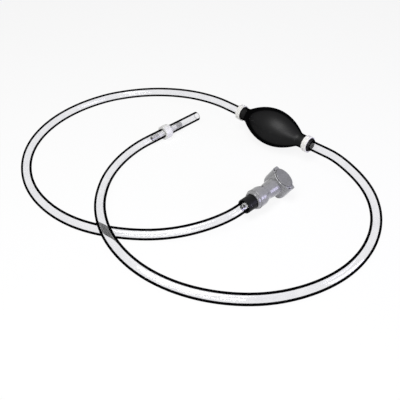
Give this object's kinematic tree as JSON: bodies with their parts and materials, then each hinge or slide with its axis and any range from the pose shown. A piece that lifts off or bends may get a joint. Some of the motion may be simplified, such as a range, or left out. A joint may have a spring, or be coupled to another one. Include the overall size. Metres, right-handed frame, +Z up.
{
  "type": "siphon bulb pump",
  "caption": "Hand siphon pump: black rubber squeeze bulb with ball check valves, clear suction hose to a barbed union and tail, clear delivery hose to a grey thumb-latch quick coupling.",
  "frame": {"origin": "on the floor under the middle of the bulb, half way between the ends of its necks", "axes": "+X along the bulb towards its inlet neck, +Y away from the viewer, +Z up"},
  "size_m": [0.4678, 0.3196, 0.048],
  "materials": {
    "black_rubber": "satin moulded rubber",
    "black_plastic": "satin moulded plastic",
    "white_nylon": "satin moulded nylon",
    "natural_nylon": "translucent moulded nylon",
    "clear_vinyl": "clear extruded vinyl",
    "grey_plastic": "smooth moulded plastic",
    "steel": "bright stainless"
  },
  "bodies": {
    "pump": {"bulb": "black_rubber", "inlet_neck_clamp": "white_nylon", "outlet_neck_clamp": "white_nylon", "inlet_valve_body": "black_plastic", "outlet_valve_body": "black_plastic", "inlet_valve_spring": "steel", "outlet_valve_spring": "steel", "inlet_spring_retainer": "white_nylon", "outlet_seat_ring": "white_nylon", "delivery_hose": "clear_vinyl", "suction_hose": "clear_vinyl", "suction_tail": "clear_vinyl", "barbed_union": "natural_nylon", "coupling_housing": "grey_plastic", "coupling_hose_sleeve": "black_plastic", "coupling_hose_barb": "natural_nylon", "latch_spring_near": "steel", "latch_spring_far": "steel", "poppet_spring": "steel", "socket_seal": "black_rubber"},
    "inlet_ball": {"inlet_valve_ball": "steel"},
    "outlet_ball": {"outlet_valve_ball": "steel"},
    "latch": {"thumb_latch": "grey_plastic"},
    "poppet": {"shutoff_poppet": "white_nylon", "poppet_seal": "black_rubber"}
  },
  "joints": [
    {"name": "inlet_ball_lift", "type": "slide", "parent": "pump", "child": "inlet_ball", "axis": [-1, 0, 0], "range_m": [0, 0.0025], "stiffness_N_per_m": 40, "springref_m": -0.002, "deforming": ["inlet_valve_spring"]},
    {"name": "outlet_ball_lift", "type": "slide", "parent": "pump", "child": "outlet_ball", "axis": [-1, 0, 0], "range_m": [0, 0.0025], "stiffness_N_per_m": 40, "springref_m": -0.002, "deforming": ["outlet_valve_spring"]},
    {"name": "latch_press", "type": "slide", "parent": "pump", "child": "latch", "axis": [-0.5075, 0, -0.8616], "range_m": [0, 0.002], "stiffness_N_per_m": 300, "springref_m": -0.004, "deforming": ["latch_spring_near", "latch_spring_far"]},
    {"name": "poppet_lift", "type": "slide", "parent": "pump", "child": "poppet", "axis": [0, -1, 0], "range_m": [0, 0.0045], "stiffness_N_per_m": 200, "springref_m": -0.005, "deforming": ["poppet_spring"]}
  ]
}
